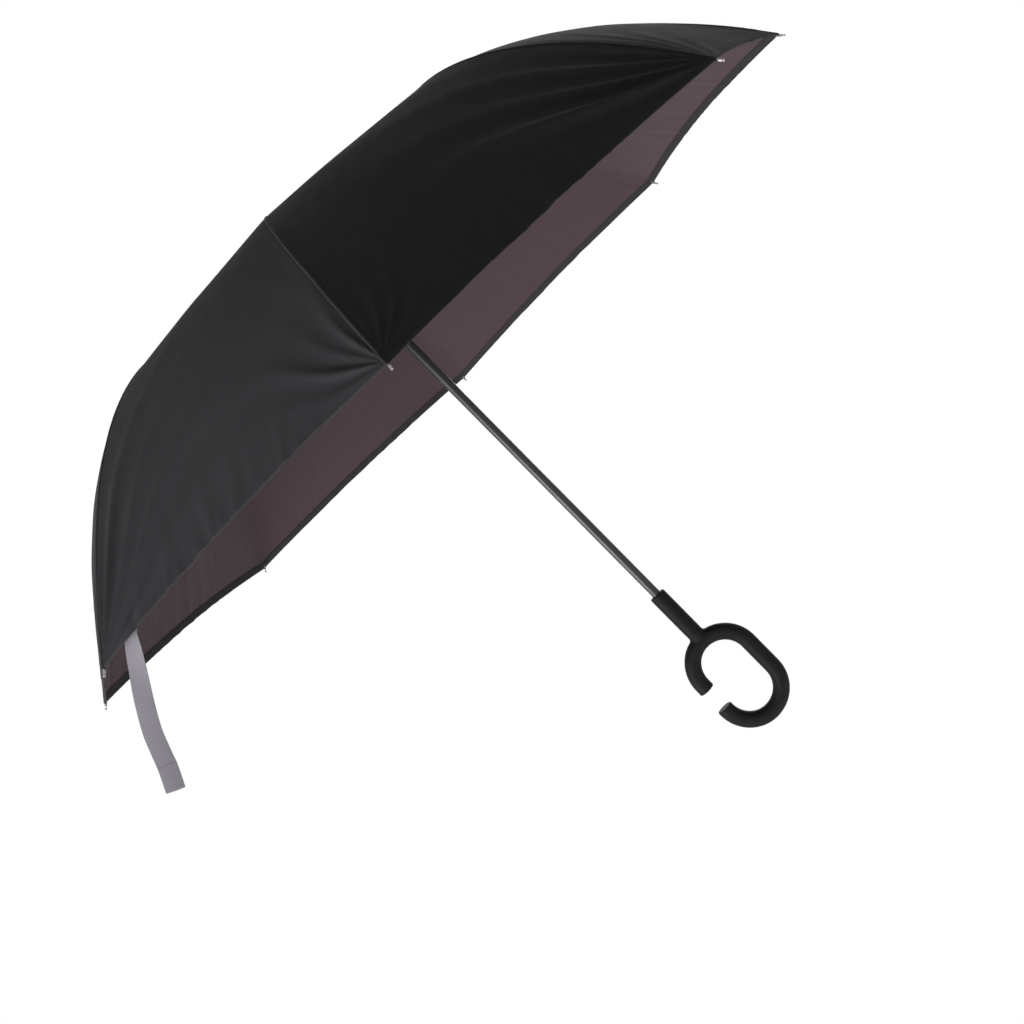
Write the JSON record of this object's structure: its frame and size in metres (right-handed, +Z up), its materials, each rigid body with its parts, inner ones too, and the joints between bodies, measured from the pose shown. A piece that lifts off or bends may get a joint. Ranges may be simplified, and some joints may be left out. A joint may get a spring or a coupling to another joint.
{
  "type": "inverted umbrella",
  "caption": "Double-canopy inverted umbrella with a C-shaped grip, black outside and grey inside, folding inside out by a push-button runner.",
  "frame": {"origin": "on the shaft's axis, half way along the grip's straight neck, where the hand closes", "axes": "+Z up the shaft towards the crown, +X towards the grip's straight back and the release button, canopy open"},
  "size_m": [1.07, 1.07, 0.7915],
  "materials": {
    "black_steel": "satin",
    "bright_steel": "polished",
    "soft_rubber": "matte",
    "black_nylon": "matte",
    "red_plastic": "gloss",
    "black_fibreglass": "satin",
    "black_pongee": "satin",
    "grey_pongee": "matte",
    "grey_webbing": "matte"
  },
  "bodies": {
    "frame": {"shaft": "black_steel", "handle": "soft_rubber", "grip_pin": "bright_steel", "crown": "black_nylon", "crown_wire": "bright_steel", "top_cap": "black_nylon", "shaft_catch": "bright_steel"},
    "arm_1": {"stretcher_1": "black_steel", "cover_top_1": "black_pongee"},
    "ribs_1": {"rib_1": "black_steel", "rib_rod_1": "black_fibreglass", "cover_skirt_1": "black_pongee", "lining_1": "grey_pongee"},
    "arm_2": {"stretcher_2": "black_steel", "cover_top_2": "black_pongee"},
    "ribs_2": {"rib_2": "black_steel", "rib_rod_2": "black_fibreglass", "cover_skirt_2": "black_pongee", "lining_2": "grey_pongee"},
    "arm_3": {"stretcher_3": "black_steel", "cover_top_3": "black_pongee"},
    "ribs_3": {"rib_3": "black_steel", "rib_rod_3": "black_fibreglass", "cover_skirt_3": "black_pongee", "lining_3": "grey_pongee"},
    "arm_4": {"stretcher_4": "black_steel", "cover_top_4": "black_pongee"},
    "ribs_4": {"rib_4": "black_steel", "rib_rod_4": "black_fibreglass", "cover_skirt_4": "black_pongee", "lining_4": "grey_pongee"},
    "arm_5": {"stretcher_5": "black_steel", "cover_top_5": "black_pongee"},
    "ribs_5": {"rib_5": "black_steel", "rib_rod_5": "black_fibreglass", "cover_skirt_5": "black_pongee", "lining_5": "grey_pongee"},
    "arm_6": {"stretcher_6": "black_steel", "cover_top_6": "black_pongee"},
    "ribs_6": {"rib_6": "black_steel", "rib_rod_6": "black_fibreglass", "cover_skirt_6": "black_pongee", "lining_6": "grey_pongee"},
    "arm_7": {"stretcher_7": "black_steel", "cover_top_7": "black_pongee"},
    "ribs_7": {"rib_7": "black_steel", "rib_rod_7": "black_fibreglass", "cover_skirt_7": "black_pongee", "lining_7": "grey_pongee"},
    "arm_8": {"stretcher_8": "black_steel", "cover_top_8": "black_pongee"},
    "ribs_8": {"rib_8": "black_steel", "rib_rod_8": "black_fibreglass", "cover_skirt_8": "black_pongee", "lining_8": "grey_pongee", "strap": "grey_webbing"},
    "runner": {"runner": "black_nylon", "runner_wire": "bright_steel", "button_spring": "bright_steel"},
    "button": {"release_button": "red_plastic"}
  },
  "joints": [
    {"name": "crown_hinge_1", "type": "hinge", "parent": "frame", "child": "arm_1", "pos_m": [0, -0.011, 0.61894], "axis": [1, 0, 0], "range_deg": [0, 75.4], "deforming": ["cover_top_1", "cover_top_2", "cover_top_3", "cover_top_4", "cover_top_5", "cover_top_6", "cover_top_7", "cover_top_8", "cover_skirt_1", "cover_skirt_2", "cover_skirt_3", "cover_skirt_4", "cover_skirt_5", "cover_skirt_6", "cover_skirt_7", "cover_skirt_8", "lining_1", "lining_2", "lining_3", "lining_4", "lining_5", "lining_6", "lining_7", "lining_8", "strap", "shaft_catch"]},
    {"name": "crown_hinge_2", "type": "hinge", "parent": "frame", "child": "arm_2", "pos_m": [0.00778, -0.00778, 0.61894], "axis": [0.7071, 0.7071, 0], "range_deg": [0, 75.4]},
    {"name": "crown_hinge_3", "type": "hinge", "parent": "frame", "child": "arm_3", "pos_m": [0.011, 0, 0.61894], "axis": [0, 1, 0], "range_deg": [0, 75.4]},
    {"name": "crown_hinge_4", "type": "hinge", "parent": "frame", "child": "arm_4", "pos_m": [0.00778, 0.00778, 0.61894], "axis": [-0.7071, 0.7071, 0], "range_deg": [0, 75.4]},
    {"name": "crown_hinge_5", "type": "hinge", "parent": "frame", "child": "arm_5", "pos_m": [0, 0.011, 0.61894], "axis": [-1, 0, 0], "range_deg": [0, 75.4]},
    {"name": "crown_hinge_6", "type": "hinge", "parent": "frame", "child": "arm_6", "pos_m": [-0.00778, 0.00778, 0.61894], "axis": [-0.7071, -0.7071, 0], "range_deg": [0, 75.4]},
    {"name": "crown_hinge_7", "type": "hinge", "parent": "frame", "child": "arm_7", "pos_m": [-0.011, 0, 0.61894], "axis": [0, -1, 0], "range_deg": [0, 75.4]},
    {"name": "crown_hinge_8", "type": "hinge", "parent": "frame", "child": "arm_8", "pos_m": [-0.00778, -0.00778, 0.61894], "axis": [0.7071, -0.7071, 0], "range_deg": [0, 75.4]},
    {"name": "knee_hinge_1", "type": "hinge", "parent": "arm_1", "child": "ribs_1", "pos_m": [0, -0.27796, 0.57857], "axis": [1, 0, 0], "range_deg": [-150.8, 0]},
    {"name": "knee_hinge_2", "type": "hinge", "parent": "arm_2", "child": "ribs_2", "pos_m": [0.19655, -0.19655, 0.57857], "axis": [0.7071, 0.7071, 0], "range_deg": [-150.8, 0]},
    {"name": "knee_hinge_3", "type": "hinge", "parent": "arm_3", "child": "ribs_3", "pos_m": [0.27796, 0, 0.57857], "axis": [0, 1, 0], "range_deg": [-150.8, 0]},
    {"name": "knee_hinge_4", "type": "hinge", "parent": "arm_4", "child": "ribs_4", "pos_m": [0.19655, 0.19655, 0.57857], "axis": [-0.7071, 0.7071, 0], "range_deg": [-150.8, 0]},
    {"name": "knee_hinge_5", "type": "hinge", "parent": "arm_5", "child": "ribs_5", "pos_m": [0, 0.27796, 0.57857], "axis": [-1, 0, 0], "range_deg": [-150.8, 0]},
    {"name": "knee_hinge_6", "type": "hinge", "parent": "arm_6", "child": "ribs_6", "pos_m": [-0.19655, 0.19655, 0.57857], "axis": [-0.7071, -0.7071, 0], "range_deg": [-150.8, 0]},
    {"name": "knee_hinge_7", "type": "hinge", "parent": "arm_7", "child": "ribs_7", "pos_m": [-0.27796, 0, 0.57857], "axis": [0, -1, 0], "range_deg": [-150.8, 0]},
    {"name": "knee_hinge_8", "type": "hinge", "parent": "arm_8", "child": "ribs_8", "pos_m": [-0.19655, -0.19655, 0.57857], "axis": [0.7071, -0.7071, 0], "range_deg": [-150.8, 0]},
    {"name": "runner_hinge", "type": "hinge", "parent": "ribs_1", "child": "runner", "pos_m": [0, -0.011, 0.53819], "axis": [1, 0, 0], "range_deg": [0, 75.4]},
    {"name": "button_press", "type": "slide", "parent": "runner", "child": "button", "axis": [-1, 0, 0], "range_m": [0, 0.002], "stiffness_N_per_m": 400, "springref_m": -0.002, "deforming": ["button_spring", "shaft_catch"]}
  ],
  "couplings": [
    {"joint": "crown_hinge_2", "follows": "crown_hinge_1", "ratio": 1},
    {"joint": "crown_hinge_3", "follows": "crown_hinge_1", "ratio": 1},
    {"joint": "crown_hinge_4", "follows": "crown_hinge_1", "ratio": 1},
    {"joint": "crown_hinge_5", "follows": "crown_hinge_1", "ratio": 1},
    {"joint": "crown_hinge_6", "follows": "crown_hinge_1", "ratio": 1},
    {"joint": "crown_hinge_7", "follows": "crown_hinge_1", "ratio": 1},
    {"joint": "crown_hinge_8", "follows": "crown_hinge_1", "ratio": 1},
    {"joint": "knee_hinge_1", "follows": "crown_hinge_1", "ratio": -2},
    {"joint": "knee_hinge_2", "follows": "crown_hinge_1", "ratio": -2},
    {"joint": "knee_hinge_3", "follows": "crown_hinge_1", "ratio": -2},
    {"joint": "knee_hinge_4", "follows": "crown_hinge_1", "ratio": -2},
    {"joint": "knee_hinge_5", "follows": "crown_hinge_1", "ratio": -2},
    {"joint": "knee_hinge_6", "follows": "crown_hinge_1", "ratio": -2},
    {"joint": "knee_hinge_7", "follows": "crown_hinge_1", "ratio": -2},
    {"joint": "knee_hinge_8", "follows": "crown_hinge_1", "ratio": -2},
    {"joint": "runner_hinge", "follows": "crown_hinge_1", "ratio": 1}
  ]
}
